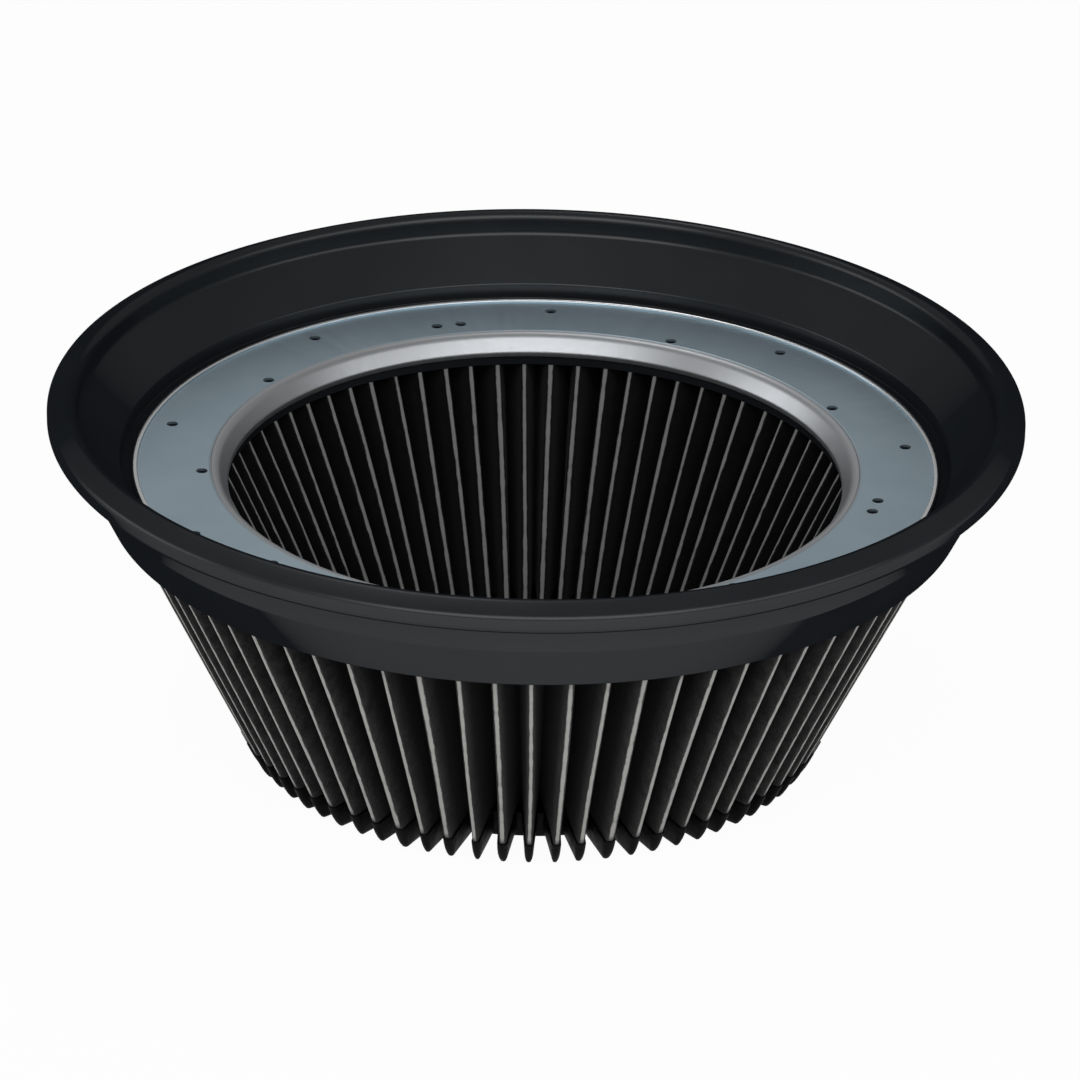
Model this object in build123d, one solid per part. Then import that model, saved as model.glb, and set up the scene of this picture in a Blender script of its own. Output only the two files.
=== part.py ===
"""Cone-shaped vacuum filter: pleated felt between a rubber seal ring and a cast end cap.

The cone's axis is Z. The filter stands on the flat underside of its end cap, at z = 0.
All lengths are millimetres.
"""
import os
from math import asin, atan2, cos, pi, sin, sqrt, tan

from build123d import *

# Pleated felt
PLEATS = 70
FIRST_FOLD_ANGLE = -90.0  # degrees; one outer fold faces the front
FELT = 1.35               # thickness of the felt
BEND_FLATS = 3            # flats in each round bend
PLEAT_DEPTH = 39.0        # from the outer folds to the inner folds, the same at every height
FOLD_RADIUS_LOW = 108.7   # outer folds at the cap's underside
FOLD_RADIUS_HIGH = 157.3  # outer folds at the seal ring
CLOTH_HEIGHT = 89.2       # from the top of the cap to the underside of the ring

# End cap
CAP_HEIGHT = 13.0
CAP_SKIN = 0.4            # the casting stands this far outside the felt
TOOTH_DEPTH = 22.0        # how far the gaps between the teeth reach in
TOE_HEIGHT = 3.0          # the lowest stretch of the teeth, where they draw in
TOE_INSET = 1.0           # how far they draw in there

# Top plate
SHEET = 1.0               # thickness of the steel
BORE_RADIUS = 117.0       # air opening, inside the collar
COLLAR_DEPTH = 8.4        # from the plate's upper face to the collar's lower edge
COLLAR_RIM = 2.0          # upright lowest stretch of the collar
COLLAR_FLARE = 4.0        # how far the collar opens out above that
SHOULDER = 4.0            # radius of the bend between plate and collar
PLATE_RADIUS = 153.5
HEM_WIDTH = 2.2           # the outer edge is folded over once
HEM_ROUND = 0.8
ROW_MARKS = 9             # pierced points in each of the two rows
MARK_RADIUS = 2.2
MARK_FROM_EDGE = 10.5     # outer row, measured in from the plate's edge
MARK_FROM_COLLAR = 10.0   # inner row, measured out from the collar's inner face
FIRST_MARK_ANGLE = 8.0    # degrees, outer row
INNER_ROW_TURN = 17.5     # degrees from each outer point to the next inner one
PAIR_EVERY = 3            # each third inner point is a pair
PAIR_ANGLE = 4.2          # degrees between the two
PAIR_SHIFT = 5.5          # how much farther out a pair lies

# Seal ring, from the ledge outwards and upwards
COLLAR_GAP = 0.2          # between the collar and the ledge round it
LEDGE = 11.4              # thickness of the ledge that carries the plate
GROOVE = 4.5              # open groove between the plate's edge and the dish wall
STEP_HEIGHT = 6.0         # upright foot of the dish wall
DISH_RISE = 15.4          # sloping dish wall, upwards
DISH_SPREAD = 16.0        # sloping dish wall, outwards
LIP_HEIGHT = 10.8         # upright inner face of the lip
LIP_WIDTH = 11.3          # from the inner face of the lip to its outer face
LIP_DROP = 5.5            # fall of the lip's back over that width
LIP_FACE = 6.4            # height of the lip's outer face
LIP_ROUND = 2.6           # rounding of that face
CREST_ROUND = 3.4         # rounding of the lip's inner crest
NECK_INSET = 1.5          # the neck under the lip, measured in from the lip's inner face
NECK_BELOW_DISH = 4.6     # and down from the top of the dish wall
BAND_OVERHANG = 5.7       # the band's lower edge, measured out from the pleats
BAND_HEIGHT = 17.6        # sloping lower part of the band
CREASE_INSET = 1.0        # the crease above that part, measured in from the neck
RUBBER_ROUND = 1.2        # rounding of the rubber's other free edges
RUBBER_BLEND = 3.0        # rounding of its inside corners and the crease

# Heights that follow from these
cap_top = CAP_HEIGHT
ring_low = cap_top + CLOTH_HEIGHT
ledge_top = ring_low + LEDGE
plate_top = ledge_top + SHEET
collar_low = plate_top - COLLAR_DEPTH

# Angles of the pleats, in radians
first_fold = FIRST_FOLD_ANGLE * pi / 180
half_pitch = pi / PLEATS

# Angle between the flared stretch of the collar and the axis
flare_lean = atan2(COLLAR_FLARE, COLLAR_DEPTH - COLLAR_RIM)


def polar(radius, angle, z=0.0):
    """A point on a level circle round the axis."""
    return Vector(radius * cos(angle), radius * sin(angle), z)


def fold_radius(z):
    """Radius of the outer folds at a height."""
    return FOLD_RADIUS_LOW + (FOLD_RADIUS_HIGH - FOLD_RADIUS_LOW) * z / ring_low


def bend(centre, radius, first_angle, last_angle):
    """Points along a round bend, which is drawn with a few flats."""
    step = (last_angle - first_angle) / BEND_FLATS
    return [centre + polar(radius, first_angle + step * number) for number in range(BEND_FLATS + 1)]


def bend_radius(z):
    """Radius of the centres of the outer bends at a height."""
    return fold_radius(z) - FELT


def valley_radius(z):
    """Radius of the centres of the inner bends at a height."""
    return fold_radius(z) - PLEAT_DEPTH + FELT


def wall_lean(z):
    """Angle between an outer fold's own radius and the outward normal of the felt wall after it.

    One face of the wall passes through the centre of each bend, so the wall is turned from the line
    between the centres by the angle of one thickness.
    """
    line = polar(valley_radius(z), half_pitch) - polar(bend_radius(z), 0.0)
    return atan2(line.Y, line.X) + asin(FELT / line.length) - pi / 2


def felt_outline(z, outside):
    """The zigzag of the felt's outer or inner face at a height.

    Each fold is round on its convex face and sharp on its concave face.
    """
    lean = wall_lean(z)
    inner_lean = lean - half_pitch
    points = []
    for index in range(PLEATS):
        angle = first_fold + 2 * half_pitch * index
        valley_angle = angle + half_pitch
        fold = polar(bend_radius(z), angle, z)
        valley = polar(valley_radius(z), valley_angle, z)
        if outside:
            points += bend(fold, FELT, angle - lean, angle + lean)
            points.append(valley)
        else:
            points.append(fold)
            points += bend(valley, FELT, valley_angle + pi + inner_lean, valley_angle + pi - inner_lean)
    return Wire.make_polygon(points)


def cap_outline(z, skin):
    """The cap's toothed outline at a height: the pleats moved out by skin, with filled valleys."""
    lean = wall_lean(z)
    reach = FELT + skin
    root = fold_radius(z) - TOOTH_DEPTH
    nose_end = polar(bend_radius(z), 0.0) + polar(reach, lean)
    flank = polar(1.0, lean + pi / 2)
    along = nose_end.dot(flank)
    foot = nose_end - flank * (along + sqrt(along ** 2 - nose_end.dot(nose_end) + root ** 2))
    foot_turn = atan2(foot.Y, foot.X)
    points = []
    for index in range(PLEATS):
        angle = first_fold + 2 * half_pitch * index
        points.append(polar(root, angle - foot_turn, z))
        points += bend(polar(bend_radius(z), angle, z), reach, angle - lean, angle + lean)
        points.append(polar(root, angle + foot_turn, z))
    return Wire.make_polygon(points)


def make_filter_cloth():
    """One felt strip, folded into pleats that spread as the cone opens."""
    outer_face = Solid.make_loft([felt_outline(z, True) for z in (cap_top, ring_low)], ruled=True)
    run_out = FELT
    inner_heights = (cap_top - run_out, ring_low + run_out)
    inner_face = Solid.make_loft([felt_outline(z, False) for z in inner_heights], ruled=True)
    return outer_face - inner_face


def make_end_cap():
    """Cast cap with one tooth for each pleat. The toes of the teeth draw in towards the floor."""
    outlines = [
        cap_outline(0.0, CAP_SKIN - TOE_INSET),
        cap_outline(TOE_HEIGHT, CAP_SKIN),
        cap_outline(cap_top, CAP_SKIN),
    ]
    return Solid.make_loft(outlines, ruled=True)


def revolved(points, radii):
    """A ring from a closed section in radius and height, with a rounding for each corner."""
    with BuildPart() as ring:
        with BuildSketch(Plane.XZ):
            with BuildLine():
                FilletPolyline(*points, radius=radii, close=True)
            make_face()
        revolve(axis=Axis.Z)
    return ring.part


def flare_foot(offset):
    """Height where the collar's flare begins, on a face moved out from its inner face by an offset."""
    return collar_low + COLLAR_RIM - offset * tan(flare_lean / 2)


def flare_head(offset):
    """Radius where that face reaches the underside of the plate."""
    return BORE_RADIUS + COLLAR_FLARE - SHEET * tan(flare_lean) + offset / cos(flare_lean)


def make_seal_ring():
    """Rubber moulding: ledge, band, neck, lip and dish wall in one section."""
    clear = SHEET + COLLAR_GAP
    ledge_inner = BORE_RADIUS + clear
    step_radius = PLATE_RADIUS + GROOVE
    step_top = ledge_top + STEP_HEIGHT
    lip_inner = step_radius + DISH_SPREAD
    dish_top = step_top + DISH_RISE
    lip_top = dish_top + LIP_HEIGHT
    lip_outer = lip_inner + LIP_WIDTH
    lip_shoulder = lip_top - LIP_DROP
    neck = lip_inner - NECK_INSET
    section = [
        (ledge_inner, ring_low, 0.0),
        (FOLD_RADIUS_HIGH + BAND_OVERHANG, ring_low, RUBBER_ROUND),
        (neck - CREASE_INSET, ring_low + BAND_HEIGHT, RUBBER_BLEND),
        (neck, dish_top - NECK_BELOW_DISH, RUBBER_BLEND),
        (lip_outer, lip_shoulder - LIP_FACE, LIP_ROUND),
        (lip_outer, lip_shoulder, LIP_ROUND),
        (lip_inner, lip_top, CREST_ROUND),
        (lip_inner, dish_top, RUBBER_BLEND),
        (step_radius, step_top, RUBBER_ROUND),
        (step_radius, ledge_top, 0.0),
        (flare_head(clear), ledge_top, SHOULDER - SHEET),
        (ledge_inner, flare_foot(clear), 0.0),
    ]
    return revolved([point[:2] for point in section], [point[2] for point in section])


def mark_places():
    """Radius and angle of each pierced point, row by row."""
    step = 2 * pi / ROW_MARKS
    first = FIRST_MARK_ANGLE * pi / 180
    first_inner = first + INNER_ROW_TURN * pi / 180
    half_pair = PAIR_ANGLE * pi / 360
    inner_row = BORE_RADIUS + MARK_FROM_COLLAR
    places = [(PLATE_RADIUS - MARK_FROM_EDGE, first + step * index) for index in range(ROW_MARKS)]
    for index in range(ROW_MARKS):
        angle = first_inner + step * index
        if (index + 1) % PAIR_EVERY:
            places.append((inner_row, angle))
        else:
            places += [(inner_row + PAIR_SHIFT, angle + turn) for turn in (-half_pair, half_pair)]
    return places


def make_top_plate():
    """Sheet steel ring with a flared collar, a folded outer edge and pierced points."""
    hem_inner = PLATE_RADIUS - HEM_WIDTH
    section = [
        (BORE_RADIUS, collar_low, 0.0),
        (BORE_RADIUS + SHEET, collar_low, 0.0),
        (BORE_RADIUS + SHEET, flare_foot(SHEET), 0.0),
        (flare_head(SHEET), ledge_top, SHOULDER - SHEET),
        (PLATE_RADIUS, ledge_top, 0.0),
        (PLATE_RADIUS, plate_top + SHEET, HEM_ROUND),
        (hem_inner, plate_top + SHEET, HEM_ROUND),
        (hem_inner, plate_top, 0.0),
        (BORE_RADIUS + COLLAR_FLARE, plate_top, SHOULDER),
        (BORE_RADIUS, flare_foot(0.0), 0.0),
    ]
    plate = revolved([point[:2] for point in section], [point[2] for point in section])
    for radius, angle in mark_places():
        centre = polar(radius, angle, ledge_top + SHEET / 2)
        plate -= Pos(centre) * Cylinder(MARK_RADIUS, 2 * SHEET)
    return plate


os.makedirs("parts", exist_ok=True)
export_step(make_filter_cloth(), "parts/filter_cloth.step")
export_step(make_end_cap(), "parts/end_cap.step")
export_step(make_seal_ring(), "parts/seal_ring.step")
export_step(make_top_plate(), "parts/top_plate.step")
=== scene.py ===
"""Looks of a cone-shaped vacuum filter: rubber seal ring, zinc sheet plate, pleated felt and cast end cap.

The cone's axis is Z, and the filter stands on its end cap at z = 0. Sizes here are millimetres and degrees.
Meshes are made in metres, round the same axis as the frame.
"""
from math import asin, atan2, cos, hypot, pi, radians, sin, sqrt, tan

import bmesh
import bpy
from mathutils import Matrix, Vector


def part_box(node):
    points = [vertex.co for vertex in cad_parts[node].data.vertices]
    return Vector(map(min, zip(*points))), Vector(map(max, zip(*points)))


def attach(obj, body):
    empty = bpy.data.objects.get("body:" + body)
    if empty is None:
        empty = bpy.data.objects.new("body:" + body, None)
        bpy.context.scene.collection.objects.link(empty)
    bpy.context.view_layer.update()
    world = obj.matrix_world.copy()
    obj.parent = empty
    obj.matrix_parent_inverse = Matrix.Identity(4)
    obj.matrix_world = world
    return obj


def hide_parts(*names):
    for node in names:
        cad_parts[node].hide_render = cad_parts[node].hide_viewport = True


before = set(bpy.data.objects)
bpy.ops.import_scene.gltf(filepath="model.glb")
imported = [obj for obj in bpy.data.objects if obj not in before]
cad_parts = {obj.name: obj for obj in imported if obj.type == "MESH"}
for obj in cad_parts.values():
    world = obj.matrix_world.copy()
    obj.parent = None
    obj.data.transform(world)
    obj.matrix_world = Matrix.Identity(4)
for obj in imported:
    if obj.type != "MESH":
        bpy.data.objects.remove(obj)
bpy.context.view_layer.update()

MM = 0.001
BODY = "root"

# Heights and radii that the frame gives
ring_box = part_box("seal_ring")
plate_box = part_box("top_plate")
cloth_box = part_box("filter_cloth")
ring_low = ring_box[0].z / MM
lip_outer = ring_box[1].x / MM
plate_radius = plate_box[1].x / MM
collar_low = plate_box[0].z / MM
hem_top = plate_box[1].z / MM
cap_top = cloth_box[0].z / MM

# Pleated felt
PLEATS = 70
FIRST_FOLD_ANGLE = -90.0
FELT = 1.35
PLEAT_DEPTH = 39.0
FOLD_RADIUS_LOW = 108.7    # outer folds on the floor
FOLD_RADIUS_HIGH = 157.3   # outer folds under the seal ring
DUST_AND_SHADE_DEPTH = 10.0          # how far in from the outer folds the walls go from dusty felt with painted light to painted shade
FELT_SUNK = 4.5            # how far the felt reaches down into the casting
BEND_STEPS = 6
WALL_STEPS = 6
CLOTH_ROWS = 18
FOLD_WANDER = 2.2          # degrees, spread of the folds' uneven spacing
FOLD_RIPPLE = 1.0          # spread of the folds' uneven reach
FOLD_SEED = 3.0
UNEVEN_SCALE = 9.0         # how close together the uneven places lie
UNEVEN_RISE = 0.6          # how fast they change along a fold
RIPPLE_SHIFT = 7.0         # keeps the uneven reach apart from the uneven spacing
PLEAT_SHARP = 30.0         # a crease past this angle is shaded sharp
# Felt wall tones: the dark deep tone is painted shade in the gaps, and the dusty tone near the outer folds is dust
# with painted light
FELT_DEEP_SHADED = ((0.0018, 0.0019, 0.0021), (0.0068, 0.0069, 0.0072))
FELT_DUSTY_LIT = ((0.014, 0.0142, 0.0145), (0.062, 0.0620, 0.0605))
OUTER_NOSE_PALE = (0.46, 0.455, 0.44)
INNER_NOSE_PALE = (0.215, 0.215, 0.212)
PALE_START = 0.1           # full wear on the tip of a nose
PALE_REACH = 0.30          # how far the pale wear runs back from the tip of a nose
PALE_UNEVEN = 0.12         # how much that varies
PALE_FADE = 3.0            # height over which it comes up from the casting

# End cap
CAP_SKIN = 0.6
TOOTH_DEPTH = 22.0
TOE_HEIGHT = 7.0
TOE_INSET = 1.6
NOSE_CAST_TOP = 10.6       # the casting's upper edge on the noses of the pleats
CAP_ROWS = 5
TOE_STEPS = 4
GAP_STEPS = 3
CAST_ROUND = 0.45          # rounding of the casting's upper edge
FLOOR_DISC = 60.0          # flat of the casting, inside the pleats
CAP_SHARP = 50.0
CASTING_TONES = ((0.0022, 0.0023, 0.0025), (0.0060, 0.0061, 0.0064))

# Top plate
SHEET = 1.0
BORE_RADIUS = 117.0
COLLAR_RIM = 2.0           # upright lowest stretch of the collar
COLLAR_FLARE = 4.0         # how far it opens out above that
SHOULDER = 4.0             # bend between plate and collar
RIM_BLEND = 2.0            # soft bend between flare and rim
PRESS_LINE_WIDTH = 1.1     # line pressed into the plate round the bend
PRESS_LINE_DEPTH = 0.3
HEM_WIDTH = 2.2
HEM_ROUND = 0.8
CUT_EDGE = 0.3             # rounding of cut sheet edges
COLLAR_BRIGHT = (0.50, 0.515, 0.535)
# The hem's near-white colour is a painted highlight along the plate's rim
HEM_PAINTED_HIGHLIGHT = (0.92, 0.93, 0.94)
COLLAR_BURNISH = 0.02      # how much smoother than the flat the collar is
HEM_BURNISH = 0.22         # and the hem
HEM_BLEND = 0.3            # stretch over which the hem's finish begins
PLATE_TONES = ((0.43, 0.54, 0.61), (0.485, 0.595, 0.665))
PLATE_SHARP = 18.0
ROW_MARKS = 9
MARK_RADIUS = 2.2
MARK_FROM_EDGE = 10.5
MARK_FROM_COLLAR = 10.0
FIRST_MARK_ANGLE = 8.0
INNER_ROW_TURN = 17.5
PAIR_EVERY = 3             # each third inner mark is a pair
PAIR_ANGLE = 4.2
PAIR_SHIFT = 5.5
TONGUE_RADIUS = 1.8
TONGUE_SHEET = 0.5
TONGUE_SET = 0.7           # share of its thickness that a tongue sits lower than the plate
TONGUE_TILTS = (42.0, 64.0)
TONGUE_SWERVE = 0.5        # radians, either way
TONGUE_SEED = 4
MARK_SIDES = 24

# Seal ring
COLLAR_GAP = 0.2
LEDGE = 11.4
GROOVE = 4.5
STEP_HEIGHT = 6.0
DISH_RISE = 15.4
DISH_SPREAD = 16.0
LIP_HEIGHT = 10.8
LIP_DROP = 5.5
LIP_FACE = 6.4
LIP_ROUND = 2.6
CREST_ROUND = 3.4
NECK_INSET = 1.5
NECK_BELOW_DISH = 4.6
BAND_OVERHANG = 5.7
BAND_HEIGHT = 17.6
CREASE_INSET = 1.0
RUBBER_ROUND = 1.2
RUBBER_BLEND = 3.0
RUBBER_SHARP = 40.0
RUBBER_TONES = ((0.0100, 0.0117, 0.0142), (0.0128, 0.0147, 0.0176))
RUBBER_GLOSS = 0.50        # level of gloss on faces seen straight on
GLOSS_FULL = 0.05          # how far a face turns away before the gloss starts to go
GLOSS_GONE = 0.55          # and where it is gone

TURNS = 360                # steps round the axis
ROUNDING_STEPS = 8         # steps in each rounded corner
MERGE_DISTANCE = 0.01      # points of a piece closer than this are one

ledge_top = ring_low + LEDGE
plate_top = ledge_top + SHEET
step_top = ledge_top + STEP_HEIGHT
dish_top = step_top + DISH_RISE
lip_top = dish_top + LIP_HEIGHT
flare_lean = atan2(COLLAR_FLARE, plate_top - collar_low - COLLAR_RIM)
bend_outer = BORE_RADIUS + COLLAR_FLARE + SHOULDER * tan(pi / 4 - flare_lean / 2)
flat_inner = bend_outer + PRESS_LINE_WIDTH
half_pitch = pi / PLEATS

# Camera and light
CAMERA_LENS = 233.33
CAMERA_ELEVATION = 25.73
CAMERA_ROLL = 0.974
CAMERA_DISTANCE = 2679.3
CAMERA_TARGET = (2.24, 0.0, 82.0)
LAMP_AIM = (0.0, 0.0, 100.0)
LAMPS = (                  # name, place, width, height, watts
    ("front_box", (0.0, -1700.0, 1450.0), 3000.0, 1300.0, 24.0),
    ("left_box", (-1800.0, 200.0, 700.0), 1300.0, 700.0, 6.5),
    ("right_box", (1600.0, -750.0, 1000.0), 1200.0, 700.0, 4.0),
    ("top_box", (-300.0, 1000.0, 1900.0), 500.0, 500.0, 3.0),
)
FLOOR_SIZE = 12000.0
FLOOR_GAP = 0.3            # keeps the floor clear of the cap's underside
FLOOR_COLOUR = (0.95, 0.95, 0.95, 1.0)
FLOOR_WHITE = 0.96         # share of plain white in what the camera sees of the floor
AMBIENT = 0.25             # even light from above
BACK_GLOW = 0.10           # what the sky behind the filter adds to it
GLOW_FROM = 0.2            # how far towards the back that starts
GLOW_FULL = 0.9            # and where it is all there
HORIZON_BLEND = 0.08       # height of a ray's slope over which the white sweep fades into it


def polar(radius, angle, z=0.0):
    """A point on a level circle round the axis."""
    return Vector((radius * cos(angle), radius * sin(angle), z))


def add(tree, kind, inputs=(), **settings):
    """A node in a tree. Each input is given by its name or number, as a value or as the socket to link."""
    node = tree.nodes.new(kind)
    for name, value in settings.items():
        setattr(node, name, value)
    for key, value in dict(inputs).items():
        if isinstance(value, bpy.types.NodeSocket):
            tree.links.new(value, node.inputs[key])
        else:
            node.inputs[key].default_value = value
    return node


def math(tree, operation, *values):
    """The result of a Math node."""
    return add(tree, "ShaderNodeMath", enumerate(values), operation=operation).outputs[0]


def vector_math(tree, operation, *values):
    """The result of a Vector Math node."""
    return add(tree, "ShaderNodeVectorMath", enumerate(values), operation=operation).outputs[0]


# Geometry trees


def new_tree(name, sizes):
    """A geometry tree with its input node, its output node and one named input for each size."""
    tree = bpy.data.node_groups.new(name, "GeometryNodeTree")
    tree.interface.new_socket("Geometry", in_out="OUTPUT", socket_type="NodeSocketGeometry")
    tree.interface.new_socket("Geometry", in_out="INPUT", socket_type="NodeSocketGeometry")
    for size, value in sizes.items():
        kind = "NodeSocketInt" if isinstance(value, int) else "NodeSocketFloat"
        tree.interface.new_socket(size, in_out="INPUT", socket_type=kind).default_value = value
    tree.interface.new_socket("Material", in_out="INPUT", socket_type="NodeSocketMaterial")
    return tree, add(tree, "NodeGroupInput"), add(tree, "NodeGroupOutput")


def close_tree(tree, start, end, geometry):
    """Realizes what a tree made, merges its doubles, gives it the material and sends it out."""
    real = add(tree, "GeometryNodeRealizeInstances", {"Geometry": geometry})
    merged = add(tree, "GeometryNodeMergeByDistance",
                 {"Geometry": real.outputs[0], "Distance": MERGE_DISTANCE * MM})
    coloured = add(tree, "GeometryNodeSetMaterial",
                   {"Geometry": merged.outputs[0], "Material": start.outputs["Material"]})
    tree.links.new(coloured.outputs[0], end.inputs["Geometry"])


def made_by_tree(name, mesh, tree, sizes, material, sharp_angle):
    """The finished piece that a tree makes of a mesh, as a plain mesh with its faces outwards."""
    maker = bpy.data.objects.new(name + "_maker", mesh)
    bpy.context.scene.collection.objects.link(maker)
    modifier = maker.modifiers.new(tree.name, "NODES")
    modifier.node_group = tree
    values = dict(sizes, Material=material)
    for item in tree.interface.items_tree:
        if item.in_out == "INPUT" and item.name in values:
            modifier[item.identifier] = values[item.name]
    depsgraph = bpy.context.evaluated_depsgraph_get()
    made = bpy.data.meshes.new_from_object(maker.evaluated_get(depsgraph))
    maker.modifiers.clear()
    bpy.data.objects.remove(maker)
    finish_mesh(made, sharp_angle)
    piece = bpy.data.objects.new(name, made)
    made.name = name
    bpy.context.scene.collection.objects.link(piece)
    return piece


def finish_mesh(mesh, sharp_angle):
    """Turns the faces of a closed mesh outwards and shades it smooth up to an angle."""
    shape = bmesh.new()
    shape.from_mesh(mesh)
    bmesh.ops.recalc_face_normals(shape, faces=shape.faces)
    shape.to_mesh(mesh)
    shape.free()
    mesh.shade_smooth()
    mesh.set_sharp_from_angle(angle=radians(sharp_angle))


def section_mesh(name, chains, marks=()):
    """Edges in the XZ plane for chains of corners (radius, height, rounding), and loose points for marks."""
    mesh = bpy.data.meshes.new(name)
    points = []
    edges = []
    roundings = []
    for corners, closed in chains:
        first = len(points)
        points += [Vector((radius, 0.0, height)) * MM for radius, height, rounding in corners]
        roundings += [rounding * MM for radius, height, rounding in corners]
        edges += [(index, index + 1) for index in range(first, len(points) - 1)]
        if closed:
            edges.append((len(points) - 1, first))
    corners = len(points)
    points += [polar(radius, angle, plate_top) * MM for radius, angle, heading in marks]
    mesh.from_pydata(points, edges, [])
    values = {
        "rounding": roundings + [0.0] * len(marks),
        "is_mark": [0.0] * corners + [1.0] * len(marks),
        "heading": [0.0] * corners + [heading for radius, angle, heading in marks],
    }
    for attribute, numbers in values.items():
        mesh.attributes.new(attribute, "FLOAT", "POINT").data.foreach_set("value", numbers)
    return mesh


def named(tree, attribute):
    """A number kept with each point of a mesh."""
    node = add(tree, "GeometryNodeInputNamedAttribute", {"Name": attribute}, data_type="FLOAT")
    return node.outputs["Attribute"]


def turned(tree, start):
    """Nodes that round the corners of a section and turn it about the axis."""
    path_radius = start.outputs["Path Radius"]
    chain = add(tree, "GeometryNodeMeshToCurve", {"Mesh": start.outputs["Geometry"]})
    rounded = add(tree, "GeometryNodeFilletCurve", {
        "Curve": chain.outputs[0],
        "Radius": named(tree, "rounding"),
        "Limit Radius": True,
        "Count": start.outputs["Rounding Steps"],
    }, mode="POLY")
    place = add(tree, "ShaderNodeSeparateXYZ", {0: add(tree, "GeometryNodeInputPosition").outputs[0]})
    across = math(tree, "SUBTRACT", place.outputs["X"], path_radius)
    down = math(tree, "MULTIPLY", place.outputs["Z"], -1.0)
    flat = add(tree, "ShaderNodeCombineXYZ", {"X": across, "Y": down})
    laid = add(tree, "GeometryNodeSetPosition",
               {"Geometry": rounded.outputs[0], "Position": flat.outputs[0]})
    path = add(tree, "GeometryNodeCurvePrimitiveCircle", {
        "Resolution": start.outputs["Turns"],
        "Radius": path_radius,
    })
    return add(tree, "GeometryNodeCurveToMesh", {
        "Curve": path.outputs["Curve"],
        "Profile Curve": laid.outputs[0],
    }).outputs[0]


def turned_tree():
    """A closed section turned into a ring."""
    tree, start, end = new_tree("Turned Section", {"Turns": 64, "Rounding Steps": 4, "Path Radius": 0.1})
    close_tree(tree, start, end, turned(tree, start))
    return tree


def wandering(tree, geometry, wander, ripple, seed):
    """Nodes that shift folds a little round the axis and along their radius, the same at each place."""
    position = add(tree, "GeometryNodeInputPosition").outputs[0]
    place = add(tree, "ShaderNodeSeparateXYZ", {0: position})
    level = add(tree, "ShaderNodeCombineXYZ", {"X": place.outputs["X"], "Y": place.outputs["Y"]})
    heading = vector_math(tree, "NORMALIZE", level.outputs[0])
    height = add(tree, "ShaderNodeCombineXYZ", {"Z": math(tree, "MULTIPLY", place.outputs["Z"], UNEVEN_RISE)})
    spot = vector_math(tree, "ADD", heading, height.outputs[0])
    shifts = []
    for offset in (0.0, RIPPLE_SHIFT):
        wave = add(tree, "ShaderNodeTexNoise", {
            "Vector": spot,
            "W": math(tree, "ADD", seed, offset),
            "Scale": UNEVEN_SCALE,
            "Detail": 1.0,
        }, noise_dimensions="4D")
        shifts.append(math(tree, "SUBTRACT", wave.outputs["Fac"], 0.5))
    angle = math(tree, "MULTIPLY", shifts[0], wander)
    reach = math(tree, "MULTIPLY", shifts[1], ripple)
    pushed = add(tree, "ShaderNodeVectorMath", {0: heading, "Scale": reach}, operation="SCALE").outputs[0]
    moved = vector_math(tree, "ADD", position, pushed)
    swung = add(tree, "ShaderNodeVectorRotate", {"Vector": moved, "Angle": angle}, rotation_type="Z_AXIS")
    return add(tree, "GeometryNodeSetPosition",
               {"Geometry": geometry, "Position": swung.outputs[0]}).outputs[0]


def repeated_tree():
    """One pleat or tooth repeated round the axis, merged and made a little uneven."""
    tree, start, end = new_tree("Round the Cone", {
        "Copies": 8, "First Angle": 0.0, "Wander": 0.0, "Ripple": 0.0, "Seed": 0.0,
    })
    copies = start.outputs["Copies"]
    ring = add(tree, "GeometryNodePoints", {"Count": copies})
    index = add(tree, "GeometryNodeInputIndex").outputs[0]
    turn = math(tree, "MULTIPLY", index, math(tree, "DIVIDE", 2 * pi, copies))
    angle = math(tree, "ADD", turn, start.outputs["First Angle"])
    facing = add(tree, "ShaderNodeCombineXYZ", {"Z": angle})
    copied = add(tree, "GeometryNodeInstanceOnPoints", {
        "Points": ring.outputs[0],
        "Instance": start.outputs["Geometry"],
        "Rotation": facing.outputs[0],
    })
    real = add(tree, "GeometryNodeRealizeInstances", {"Geometry": copied.outputs[0]})
    uneven = wandering(tree, real.outputs[0], start.outputs["Wander"], start.outputs["Ripple"],
                       start.outputs["Seed"])
    close_tree(tree, start, end, uneven)
    return tree


# Pieces


def flare_foot(offset):
    """Height where the collar's flare begins, on a face moved out from its inner face by an offset."""
    return collar_low + COLLAR_RIM - offset * tan(flare_lean / 2)


def flare_head(offset):
    """Radius where that face reaches the underside of the plate."""
    return BORE_RADIUS + COLLAR_FLARE - SHEET * tan(flare_lean) + offset / cos(flare_lean)


def seal_ring_corners():
    """Corners of the seal ring's section, from the ledge outwards, up and back."""
    clear = SHEET + COLLAR_GAP
    ledge_inner = BORE_RADIUS + clear
    step_radius = plate_radius + GROOVE
    lip_inner = step_radius + DISH_SPREAD
    lip_shoulder = lip_top - LIP_DROP
    neck = lip_inner - NECK_INSET
    return [
        (ledge_inner, ring_low, CUT_EDGE),
        (FOLD_RADIUS_HIGH + BAND_OVERHANG, ring_low, RUBBER_ROUND),
        (neck - CREASE_INSET, ring_low + BAND_HEIGHT, RUBBER_BLEND),
        (neck, dish_top - NECK_BELOW_DISH, RUBBER_BLEND),
        (lip_outer, lip_shoulder - LIP_FACE, LIP_ROUND),
        (lip_outer, lip_shoulder, LIP_ROUND),
        (lip_inner, lip_top, CREST_ROUND),
        (lip_inner, dish_top, RUBBER_BLEND),
        (step_radius, step_top, RUBBER_ROUND),
        (step_radius, ledge_top, CUT_EDGE),
        (flare_head(clear), ledge_top, SHOULDER - SHEET),
        (ledge_inner, flare_foot(clear), CUT_EDGE),
    ]


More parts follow.
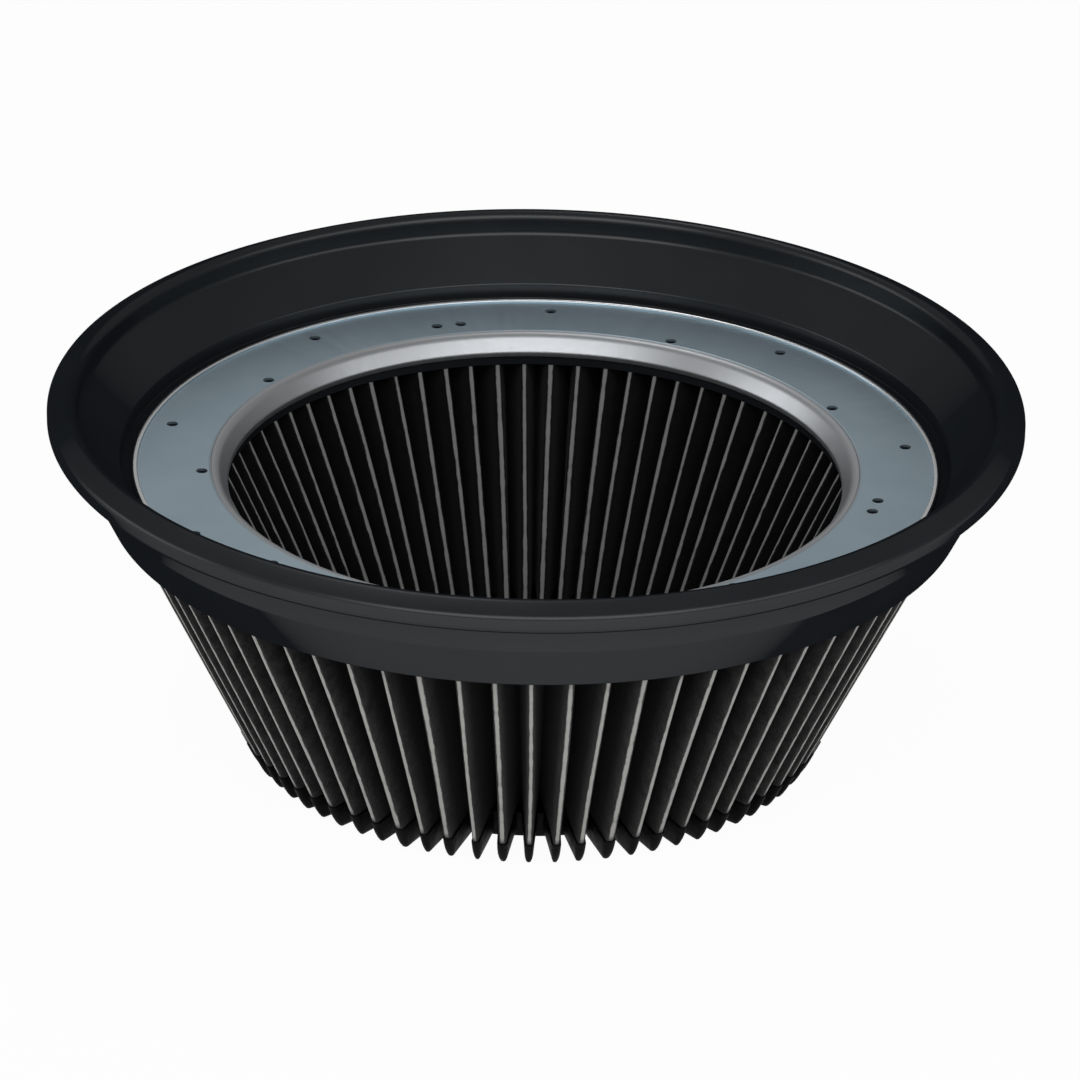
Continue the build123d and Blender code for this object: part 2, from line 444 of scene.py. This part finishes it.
def make_seal_ring(material):
    """The rubber moulding, turned from its section."""
    mesh = section_mesh("seal_ring_section", [(seal_ring_corners(), True)])
    sizes = {"Turns": TURNS, "Rounding Steps": ROUNDING_STEPS, "Path Radius": BORE_RADIUS * MM}
    return made_by_tree("seal_ring_moulding", mesh, turned_tree(), sizes, material, RUBBER_SHARP)


def plate_chains():
    """Corners of the plate's two turned edges: the collar with its pressed line, and the folded hem."""
    hem_inner = plate_radius - HEM_WIDTH
    collar = [
        (flat_inner, ledge_top, 0.0),
        (flare_head(SHEET), ledge_top, SHOULDER - SHEET),
        (BORE_RADIUS + SHEET, flare_foot(SHEET), RIM_BLEND),
        (BORE_RADIUS + SHEET, collar_low, CUT_EDGE),
        (BORE_RADIUS, collar_low, CUT_EDGE),
        (BORE_RADIUS, flare_foot(0.0), RIM_BLEND),
        (BORE_RADIUS + COLLAR_FLARE, plate_top, SHOULDER),
        (bend_outer, plate_top, 0.0),
        (bend_outer + PRESS_LINE_WIDTH / 2, plate_top - PRESS_LINE_DEPTH, CUT_EDGE),
        (flat_inner, plate_top, 0.0),
    ]
    hem = [
        (hem_inner, plate_top, 0.0),
        (hem_inner, hem_top, HEM_ROUND),
        (plate_radius, hem_top, HEM_ROUND),
        (plate_radius, ledge_top, CUT_EDGE),
        (hem_inner, ledge_top, 0.0),
    ]
    return [(collar, False), (hem, False)]


def mark_places():
    """Radius, angle and heading of each mark. A heading runs from the hinge of a tongue to its free end."""
    step = 2 * pi / ROW_MARKS
    first = radians(FIRST_MARK_ANGLE)
    first_inner = first + radians(INNER_ROW_TURN)
    half_pair = radians(PAIR_ANGLE) / 2
    outer_row = plate_radius - MARK_FROM_EDGE
    inner_row = BORE_RADIUS + MARK_FROM_COLLAR
    to_back = pi / 2
    places = []
    for index in range(ROW_MARKS):
        angle = first + step * index
        places.append((outer_row, angle, to_back))
        angle = first_inner + step * index
        if (index + 1) % PAIR_EVERY:
            places.append((inner_row, angle, to_back))
        else:
            for turn in (-half_pair, half_pair):
                places.append((inner_row + PAIR_SHIFT, angle + turn, to_back))
    return places


def plate_tree():
    """Turned collar and hem, the flat between them with its pierced marks, and the marks' bent tongues."""
    tree, start, end = new_tree("Pierced Plate", {
        "Turns": 64, "Rounding Steps": 4, "Path Radius": 0.1,
        "Flat Inner": 0.12, "Flat Outer": 0.15, "Flat Top": 0.1, "Sheet": 0.001,
        "Mark Radius": 0.002, "Tongue Radius": 0.0015, "Tongue Sheet": 0.0005, "Seed": 0,
    })
    size = start.outputs
    edges = turned(tree, start)
    spots = add(tree, "GeometryNodeMeshToPoints",
                {"Mesh": size["Geometry"], "Selection": named(tree, "is_mark")})
    # Outlines of the flat
    lift = add(tree, "ShaderNodeCombineXYZ", {"Z": size["Flat Top"]}).outputs[0]
    rims = []
    for rim in ("Flat Inner", "Flat Outer"):
        circle = add(tree, "GeometryNodeCurvePrimitiveCircle",
                     {"Resolution": size["Turns"], "Radius": size[rim]})
        rims.append(add(tree, "GeometryNodeTransform",
                        {"Geometry": circle.outputs[0], "Translation": lift}).outputs[0])
    ring = add(tree, "GeometryNodeCurvePrimitiveCircle", {"Resolution": MARK_SIDES, "Radius": size["Mark Radius"]})
    rings = add(tree, "GeometryNodeInstanceOnPoints",
                {"Points": spots.outputs[0], "Instance": ring.outputs[0]})
    cuts = add(tree, "GeometryNodeRealizeInstances", {"Geometry": rings.outputs[0]}).outputs[0]
    outline = add(tree, "GeometryNodeJoinGeometry")
    for curve in (*rims, cuts):
        tree.links.new(curve, outline.inputs[0])
    # The filled flat comes out level with the floor
    filled = add(tree, "GeometryNodeFillCurve", {"Curve": outline.outputs[0]}, mode="TRIANGLES")
    position = add(tree, "ShaderNodeSeparateXYZ", {0: add(tree, "GeometryNodeInputPosition").outputs[0]})
    upper_at = add(tree, "ShaderNodeCombineXYZ", {
        "X": position.outputs["X"], "Y": position.outputs["Y"], "Z": size["Flat Top"],
    })
    upper = add(tree, "GeometryNodeSetPosition",
                {"Geometry": filled.outputs[0], "Position": upper_at.outputs[0]}).outputs[0]
    drop = add(tree, "ShaderNodeCombineXYZ", {"Z": math(tree, "MULTIPLY", size["Sheet"], -1.0)}).outputs[0]
    lower = add(tree, "GeometryNodeTransform", {"Geometry": upper, "Translation": drop}).outputs[0]
    cut_edges = add(tree, "GeometryNodeCurveToMesh", {"Curve": cuts}).outputs[0]
    walls = add(tree, "GeometryNodeExtrudeMesh",
                {"Mesh": cut_edges, "Offset": drop, "Offset Scale": 1.0}, mode="EDGES").outputs[0]
    # Tongues, hinged on the rim of their mark and pressed down
    tongue = add(tree, "GeometryNodeMeshCylinder", {
        "Vertices": MARK_SIDES, "Radius": size["Tongue Radius"], "Depth": size["Tongue Sheet"],
    })
    reach = add(tree, "ShaderNodeCombineXYZ", {
        "X": size["Tongue Radius"], "Z": math(tree, "MULTIPLY", size["Tongue Sheet"], -TONGUE_SET),
    })
    hinged = add(tree, "GeometryNodeTransform",
                 {"Geometry": tongue.outputs[0], "Translation": reach.outputs[0]}).outputs[0]
    least, most = (radians(angle) for angle in TONGUE_TILTS)
    tilt = add(tree, "FunctionNodeRandomValue",
               {"Min": least, "Max": most, "Seed": size["Seed"]}, data_type="FLOAT")
    swerve = add(tree, "FunctionNodeRandomValue", {
        "Min": -TONGUE_SWERVE, "Max": TONGUE_SWERVE, "Seed": math(tree, "ADD", size["Seed"], 1.0),
    }, data_type="FLOAT")
    heading = math(tree, "ADD", named(tree, "heading"), swerve.outputs[1])
    pose = add(tree, "ShaderNodeCombineXYZ", {"Y": tilt.outputs[1], "Z": heading})
    hinge = add(tree, "ShaderNodeVectorRotate", {
        "Vector": add(tree, "ShaderNodeCombineXYZ",
                      {"X": math(tree, "MULTIPLY", size["Mark Radius"], -1.0)}).outputs[0],
        "Angle": heading,
    }, rotation_type="Z_AXIS")
    hinges = add(tree, "GeometryNodeSetPosition", {"Geometry": spots.outputs[0], "Offset": hinge.outputs[0]})
    tongues = add(tree, "GeometryNodeInstanceOnPoints", {
        "Points": hinges.outputs[0], "Instance": hinged, "Rotation": pose.outputs[0],
    }).outputs[0]
    everything = add(tree, "GeometryNodeJoinGeometry")
    for part in (edges, upper, lower, walls, tongues):
        tree.links.new(part, everything.inputs[0])
    close_tree(tree, start, end, everything.outputs[0])
    return tree


def make_top_plate(material):
    """The zinc sheet ring with its collar, hem and pierced marks."""
    sizes = {
        "Turns": TURNS, "Rounding Steps": ROUNDING_STEPS, "Path Radius": BORE_RADIUS * MM,
        "Flat Inner": flat_inner * MM, "Flat Outer": (plate_radius - HEM_WIDTH) * MM,
        "Flat Top": plate_top * MM, "Sheet": SHEET * MM, "Mark Radius": MARK_RADIUS * MM,
        "Tongue Radius": TONGUE_RADIUS * MM, "Tongue Sheet": TONGUE_SHEET * MM, "Seed": TONGUE_SEED,
    }
    mesh = section_mesh("top_plate_edges", plate_chains(), mark_places())
    return made_by_tree("top_plate_sheet", mesh, plate_tree(), sizes, material, PLATE_SHARP)


def fold_radius(z):
    """Radius of the outer folds at a height."""
    return FOLD_RADIUS_LOW + (FOLD_RADIUS_HIGH - FOLD_RADIUS_LOW) * z / ring_low


def wall_lean(z):
    """Angle between a fold's own radius and the outward normal of the felt wall beside it."""
    inner_bend = polar(fold_radius(z) - PLEAT_DEPTH + FELT, half_pitch)
    line = inner_bend - polar(fold_radius(z) - FELT, 0.0)
    return atan2(line.y, line.x) + asin(FELT / line.length) - pi / 2


def along(first, last, steps):
    """Points from one place to another, without either end."""
    return [first.lerp(last, step / steps) for step in range(1, steps)]


def arc(centre, radius, first_angle, last_angle):
    """Points round a bend, with both ends."""
    step = (last_angle - first_angle) / BEND_STEPS
    return [centre + polar(radius, first_angle + step * number) for number in range(BEND_STEPS + 1)]


def both_sides(half):
    """A row of points from an inner fold to the next one, given the half from the nose onwards."""
    mirrored = [Vector((point.x, -point.y, point.z)) for point in half[1:]]
    return mirrored[::-1] + half


def pleat_row(z):
    """The outside and the inside of one felt pleat at a height, as two rows with as many points."""
    lean = wall_lean(z)
    fold = polar(fold_radius(z) - FELT, 0.0, z)
    valley = polar(fold_radius(z) - PLEAT_DEPTH + FELT, half_pitch, z)
    nose = arc(fold, FELT, 0.0, lean)
    inner_nose = arc(valley, FELT, pi + lean, pi + half_pitch)
    corner = BEND_STEPS + 1
    outside = nose + along(nose[-1], valley, WALL_STEPS) + [valley] * corner
    inside = [fold] * corner + along(fold, inner_nose[0], WALL_STEPS) + inner_nose
    return both_sides(outside), both_sides(inside)


def sheet_faces(rows, columns, first=0):
    """Faces of a grid of points, given row by row."""
    faces = []
    for row in range(rows - 1):
        for column in range(columns - 1):
            corner = first + row * columns + column
            faces.append((corner, corner + 1, corner + columns + 1, corner + columns))
    return faces


def one_pleat():
    """Mesh of one felt pleat, from inner fold to inner fold. Two values grow away from the noses."""
    low = cap_top - FELT_SUNK
    heights = [low + (ring_low - low) * row / CLOTH_ROWS for row in range(CLOTH_ROWS + 1)]
    outside = []
    inside = []
    for z in heights:
        outer_row, inner_row = pleat_row(z)
        outside += outer_row
        inside += inner_row
    rows = len(heights)
    columns = len(outer_row)
    layer = len(outside)
    faces = sheet_faces(rows, columns) + sheet_faces(rows, columns, layer)
    for end in (0, layer - columns):
        for column in range(end, end + columns - 1):
            faces.append((column, column + 1, layer + column + 1, layer + column))
    mesh = bpy.data.meshes.new("one_pleat")
    mesh.from_pydata([point * MM for point in outside + inside], [], faces)
    deep = [PLEAT_DEPTH * MM] * layer
    outer_reach = [(fold_radius(point.z) - point.xy.length) * MM for point in outside] + deep
    inner_reach = deep + [(point.xy.length - fold_radius(point.z) + PLEAT_DEPTH) * MM for point in inside]
    for name, values in (("from_outer_fold", outer_reach), ("from_inner_fold", inner_reach)):
        mesh.attributes.new(name, "FLOAT", "POINT").data.foreach_set("value", values)
    return mesh


def round_the_cone(name, unit, material, sharp_angle):
    """A pleat or tooth repeated all round, with the uneven spacing that felt and casting share."""
    sizes = {
        "Copies": PLEATS, "First Angle": radians(FIRST_FOLD_ANGLE),
        "Wander": radians(FOLD_WANDER), "Ripple": FOLD_RIPPLE * MM, "Seed": FOLD_SEED,
    }
    return made_by_tree(name, unit, repeated_tree(), sizes, material, sharp_angle)


def tooth_row(heights, skin):
    """The cap's outline over one pleat with a height for each column, moved out from the felt by skin."""
    row = []
    for column, z in enumerate(heights):
        lean = wall_lean(z)
        nose = arc(polar(fold_radius(z) - FELT, 0.0, z), FELT + skin, 0.0, lean)
        root = fold_radius(z) - TOOTH_DEPTH
        flank = polar(1.0, lean + pi / 2)
        level = nose[-1].xy
        reach = level.dot(flank.xy)
        travel = -reach - sqrt(reach ** 2 - level.length_squared + root ** 2)
        foot = nose[-1] + flank * travel
        foot_angle = atan2(foot.y, foot.x)
        gap = [polar(root, foot_angle + (half_pitch - foot_angle) * step / GAP_STEPS, z)
               for step in range(GAP_STEPS + 1)]
        half = nose + along(nose[-1], foot, WALL_STEPS) + gap
        row.append(half[column])
    return row


def one_tooth():
    """Mesh of the cap's share of one pleat: a tooth with a drawn-in toe, and its slice of both faces."""
    columns = BEND_STEPS + WALL_STEPS + GAP_STEPS + 1
    rises = [min(max(column - BEND_STEPS, 0) / WALL_STEPS, 1.0) for column in range(columns)]
    tops = [NOSE_CAST_TOP + (cap_top - NOSE_CAST_TOP) * rise for rise in rises]
    rows = [[Vector((0.0, 0.0, 0.0))] * columns]
    for step in range(TOE_STEPS + 1):
        turn = pi / 2 * step / TOE_STEPS
        z = TOE_HEIGHT * (1 - cos(turn))
        rows.append(tooth_row([z] * columns, CAP_SKIN - TOE_INSET * (1 - sin(turn))))
    for step in range(1, CAP_ROWS + 1):
        share = step / CAP_ROWS
        heights = [TOE_HEIGHT + (top - CAST_ROUND - TOE_HEIGHT) * share for top in tops]
        rows.append(tooth_row(heights, CAP_SKIN))
    for step in range(1, TOE_STEPS + 1):
        turn = pi / 2 * step / TOE_STEPS
        heights = [top - CAST_ROUND * (1 - sin(turn)) for top in tops]
        rows.append(tooth_row(heights, CAP_SKIN - CAST_ROUND * (1 - cos(turn))))
    rows.append(tooth_row(tops, -FELT))
    rows.append([polar(FLOOR_DISC, atan2(point.y, point.x), cap_top)
                 for point in rows[-1]])
    rows.append([Vector((0.0, 0.0, cap_top))] * columns)
    points = []
    for row in rows:
        points += both_sides(row)
    mesh = bpy.data.meshes.new("one_tooth")
    mesh.from_pydata([point * MM for point in points], [], sheet_faces(len(rows), 2 * columns - 1))
    return mesh


# Materials


def new_material(name, constants):
    """A material with its tree and its surface node, whose plain values are set on its own sockets."""
    material = bpy.data.materials.new(name)
    material.use_nodes = True
    tree = material.node_tree
    tree.nodes.clear()
    surface = add(tree, "ShaderNodeBsdfPrincipled", constants)
    output = add(tree, "ShaderNodeOutputMaterial")
    tree.links.new(surface.outputs[0], output.inputs["Surface"])
    return material, tree, surface


def object_place(tree):
    """Object coordinates, in metres round the cone's axis."""
    return add(tree, "ShaderNodeTexCoord").outputs["Object"]


def noise(tree, place, scale, detail=2.0, roughness=0.5):
    """A noise value at a place."""
    return add(tree, "ShaderNodeTexNoise", {
        "Vector": place, "Scale": scale, "Detail": detail, "Roughness": roughness,
    }).outputs["Fac"]


def spread(tree, value, low, high, to_low=0.0, to_high=1.0):
    """A value moved from one range to another, and held inside it."""
    return add(tree, "ShaderNodeMapRange", {
        "Value": value, "From Min": low, "From Max": high, "To Min": to_low, "To Max": to_high,
    }).outputs[0]


def shade(tree, factor, dark, light):
    """A colour between two others."""
    mix = add(tree, "ShaderNodeMix", {0: factor}, data_type="RGBA")
    for socket, colour in ((mix.inputs[6], dark), (mix.inputs[7], light)):
        if isinstance(colour, bpy.types.NodeSocket):
            tree.links.new(colour, socket)
        else:
            socket.default_value = (*colour, 1.0)
    return mix.outputs[2]


def emboss(tree, surface, height, strength, distance):
    """A bump from a height value."""
    bump = add(tree, "ShaderNodeBump", {"Height": height, "Strength": strength, "Distance": distance})
    tree.links.new(bump.outputs[0], surface.inputs["Normal"])


def axis_place(tree, place):
    """The heading round the axis as a vector of length 1, and the distance from the axis."""
    part = add(tree, "ShaderNodeSeparateXYZ", {0: place})
    level = add(tree, "ShaderNodeCombineXYZ", {"X": part.outputs["X"], "Y": part.outputs["Y"]}).outputs[0]
    heading = vector_math(tree, "NORMALIZE", level)
    distance = add(tree, "ShaderNodeVectorMath", {0: level}, operation="LENGTH").outputs["Value"]
    return heading, distance


def make_rubber():
    """Black moulded rubber with a satin skin, which a dry bloom dulls at flat angles."""
    material, tree, surface = new_material("seal_rubber", {})
    place = object_place(tree)
    cloud = noise(tree, place, 22.0, 3.0)
    grain = noise(tree, place, 2600.0, 2.0)
    colour = shade(tree, spread(tree, cloud, 0.3, 0.7), *RUBBER_TONES)
    rough = spread(tree, math(tree, "ADD", cloud, math(tree, "MULTIPLY", grain, 0.3)), 0.3, 1.0, 0.26, 0.34)
    tree.links.new(colour, surface.inputs["Base Color"])
    tree.links.new(rough, surface.inputs["Roughness"])
    facing = add(tree, "ShaderNodeLayerWeight", {"Blend": 0.5}).outputs["Facing"]
    gloss = spread(tree, facing, GLOSS_FULL, GLOSS_GONE, RUBBER_GLOSS, 0.0)
    tree.links.new(gloss, surface.inputs["Specular IOR Level"])
    emboss(tree, surface, grain, 0.08, 0.0002)
    return material


def make_zinc():
    """Zinc-coated sheet steel, a little blue where it is as rolled, and burnished on its collar and hem, with a
    painted highlight in the hem's near-white colour.
    """
    material, tree, surface = new_material("zinc_sheet", {"Metallic": 1.0})
    place = object_place(tree)
    heading, distance = axis_place(tree, place)
    cloud = noise(tree, place, 30.0, 3.0)
    rolled = noise(tree, vector_math(tree, "MULTIPLY", place, (1.0, 14.0, 1.0)), 130.0, 3.0)
    drawn = noise(tree, heading, 90.0, 3.0)
    tone = math(tree, "ADD", math(tree, "MULTIPLY", cloud, 0.7), math(tree, "MULTIPLY", rolled, 0.3))
    colour = shade(tree, spread(tree, tone, 0.35, 0.65), *PLATE_TONES)
    on_collar = spread(tree, distance, bend_outer * MM, flat_inner * MM, 1.0, 0.0)
    hem_inner = plate_radius - HEM_WIDTH
    on_hem = spread(tree, distance, hem_inner * MM, (hem_inner + HEM_BLEND) * MM)
    colour = shade(tree, on_collar, colour, COLLAR_BRIGHT)
    # Painted highlight: the hem is coloured near-white
    colour = shade(tree, on_hem, colour, HEM_PAINTED_HIGHLIGHT)
    burnished = math(tree, "ADD", math(tree, "MULTIPLY", on_collar, COLLAR_BURNISH),
                     math(tree, "MULTIPLY", on_hem, HEM_BURNISH))
    matt = spread(tree, math(tree, "ADD", rolled, drawn), 0.6, 1.4, 0.40, 0.48)
    rough = math(tree, "SUBTRACT", matt, burnished)
    tree.links.new(colour, surface.inputs["Base Color"])
    tree.links.new(rough, surface.inputs["Roughness"])
    emboss(tree, surface, math(tree, "ADD", rolled, drawn), 0.06, 0.0002)
    return material


def make_felt():
    """Near-black needled felt, pressed pale and dusty along its folds, with painted light on the walls near the
    outer folds and painted shade deep in the gaps.
    """
    material, tree, surface = new_material("filter_felt", {
        "Roughness": 0.9, "Specular IOR Level": 0.1, "Sheen Weight": 0.04, "Sheen Roughness": 0.5,
    })
    place = object_place(tree)
    blotch = noise(tree, place, 160.0, 4.0, 0.6)
    fibre = noise(tree, vector_math(tree, "MULTIPLY", place, (1.0, 1.0, 0.35)), 2200.0, 3.0, 0.65)
    mottle = math(tree, "ADD", math(tree, "MULTIPLY", blotch, 0.5), math(tree, "MULTIPLY", fibre, 0.5))
    deep = shade(tree, spread(tree, mottle, 0.35, 0.65), *FELT_DEEP_SHADED)
    dusty = shade(tree, spread(tree, mottle, 0.35, 0.65), *FELT_DUSTY_LIT)
    inwards = add(tree, "ShaderNodeAttribute", attribute_name="from_outer_fold").outputs["Fac"]
    # Painted shade: the walls go from the dusty, lit tone at the outer folds to the dark deep tone further into
    # the gaps
    colour = shade(tree, spread(tree, inwards, 0.0, DUST_AND_SHADE_DEPTH * MM, 1.0, 0.0), deep, dusty)
    uneven = spread(tree, blotch, 0.3, 0.7, -PALE_UNEVEN * MM, PALE_UNEVEN * MM)
    height = add(tree, "ShaderNodeSeparateXYZ", {0: place}).outputs["Z"]
    dry = spread(tree, height, NOSE_CAST_TOP * MM, (NOSE_CAST_TOP + PALE_FADE) * MM)
    for name, pale in (("from_outer_fold", OUTER_NOSE_PALE), ("from_inner_fold", INNER_NOSE_PALE)):
        reach = add(tree, "ShaderNodeAttribute", attribute_name=name).outputs["Fac"]
        worn = spread(tree, math(tree, "ADD", reach, uneven), PALE_START * MM, PALE_REACH * MM, 1.0, 0.0)
        colour = shade(tree, math(tree, "MULTIPLY", worn, dry), colour, pale)
    tree.links.new(colour, surface.inputs["Base Color"])
    emboss(tree, surface, mottle, 0.5, 0.0004)
    return material


def make_casting():
    """Black casting compound, poured round the ends of the pleats."""
    material, tree, surface = new_material("cap_casting", {"Specular IOR Level": 0.03})
    place = object_place(tree)
    lump = noise(tree, place, 180.0, 3.0)
    pore = noise(tree, place, 1500.0, 2.0)
    colour = shade(tree, spread(tree, lump, 0.3, 0.7), *CASTING_TONES)
    rough = spread(tree, lump, 0.3, 0.7, 0.45, 0.62)
    tree.links.new(colour, surface.inputs["Base Color"])
    tree.links.new(rough, surface.inputs["Roughness"])
    height = math(tree, "ADD", lump, math(tree, "MULTIPLY", pore, 0.2))
    emboss(tree, surface, height, 0.5, 0.0008)
    return material


# Stage


def make_floor():
    """A pale floor that looks white to the camera, with a soft shadow."""
    half = FLOOR_SIZE / 2 * MM
    mesh = bpy.data.meshes.new("floor")
    low = -FLOOR_GAP * MM
    corners = [(-half, -half, low), (half, -half, low), (half, half, low), (-half, half, low)]
    mesh.from_pydata(corners, [], [(0, 1, 2, 3)])
    material = bpy.data.materials.new("pale_floor")
    material.use_nodes = True
    tree = material.node_tree
    tree.nodes.clear()
    lit = add(tree, "ShaderNodeBsdfDiffuse", {"Color": FLOOR_COLOUR})
    white = add(tree, "ShaderNodeEmission", {"Strength": 1.0})
    seen = math(tree, "MULTIPLY", seen_directly(tree), FLOOR_WHITE)
    mix = add(tree, "ShaderNodeMixShader", {0: seen, 1: lit.outputs[0], 2: white.outputs[0]})
    output = add(tree, "ShaderNodeOutputMaterial")
    tree.links.new(mix.outputs[0], output.inputs["Surface"])
    mesh.materials.append(material)
    floor = bpy.data.objects.new("floor", mesh)
    bpy.context.scene.collection.objects.link(floor)


def seen_directly(tree):
    """1 for rays from the camera, from a mirror or through glass, else 0."""
    rays = add(tree, "ShaderNodeLightPath").outputs
    mirrored = math(tree, "MAXIMUM", rays["Is Glossy Ray"], rays["Is Transmission Ray"])
    return math(tree, "MAXIMUM", rays["Is Camera Ray"], mirrored)


def make_world():
    """Even studio light, stronger behind the filter, over a white sweep along the horizon."""
    world = bpy.data.worlds.new("studio")
    world.use_nodes = True
    tree = world.node_tree
    tree.nodes.clear()
    ray = add(tree, "ShaderNodeTexCoord").outputs["Generated"]
    parts = add(tree, "ShaderNodeSeparateXYZ", {0: ray}).outputs
    sky = spread(tree, parts["Y"], GLOW_FROM, GLOW_FULL, AMBIENT, AMBIENT + BACK_GLOW)
    strength = spread(tree, parts["Z"], 0.0, HORIZON_BLEND, 1.0, sky)
    white = add(tree, "ShaderNodeBackground", {"Color": (1.0, 1.0, 1.0, 1.0), "Strength": strength})
    output = add(tree, "ShaderNodeOutputWorld")
    tree.links.new(white.outputs[0], output.inputs["Surface"])
    bpy.context.scene.world = world


def make_lamp(name, place, width, height, power):
    """A soft box at a place, turned to the middle of the filter."""
    light = bpy.data.lights.new(name, "AREA")
    light.shape = "RECTANGLE"
    light.size = width * MM
    light.size_y = height * MM
    light.energy = power
    lamp = bpy.data.objects.new(name, light)
    bpy.context.scene.collection.objects.link(lamp)
    lamp.location = Vector(place) * MM
    lamp.rotation_euler = (Vector(LAMP_AIM) - Vector(place)).to_track_quat("-Z", "Y").to_euler()


def make_camera():
    """A long lens, looking down on the filter from the front."""
    elevation = radians(CAMERA_ELEVATION)
    roll = radians(CAMERA_ROLL)
    forward = Vector((0.0, cos(elevation), -sin(elevation)))
    level = Vector((1.0, 0.0, 0.0))
    upright = level.cross(forward)
    right = level * cos(roll) + upright * sin(roll)
    up = upright * cos(roll) - level * sin(roll)
    data = bpy.data.cameras.new("camera")
    data.lens = CAMERA_LENS
    data.clip_end = 100.0
    camera = bpy.data.objects.new("camera", data)
    bpy.context.scene.collection.objects.link(camera)
    turned_to = Matrix((right, up, -forward)).transposed().to_4x4()
    place = (Vector(CAMERA_TARGET) - forward * CAMERA_DISTANCE) * MM
    camera.matrix_world = Matrix.Translation(place) @ turned_to
    bpy.context.scene.camera = camera


rubber = make_rubber()
zinc = make_zinc()
felt = make_felt()
casting = make_casting()
pieces = (
    (make_seal_ring(rubber), "seal_ring", "seal_rubber"),
    (make_top_plate(zinc), "top_plate", "zinc_sheet"),
    (round_the_cone("filter_cloth_pleats", one_pleat(), felt, PLEAT_SHARP), "filter_cloth", "filter_felt"),
    (round_the_cone("end_cap_casting", one_tooth(), casting, CAP_SHARP), "end_cap", "cap_casting"),
)
for piece, node, slot in pieces:
    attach(piece, BODY)
    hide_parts(node)

make_floor()
make_world()
for lamp in LAMPS:
    make_lamp(*lamp)
make_camera()
bpy.context.scene.view_settings.view_transform = "Standard"
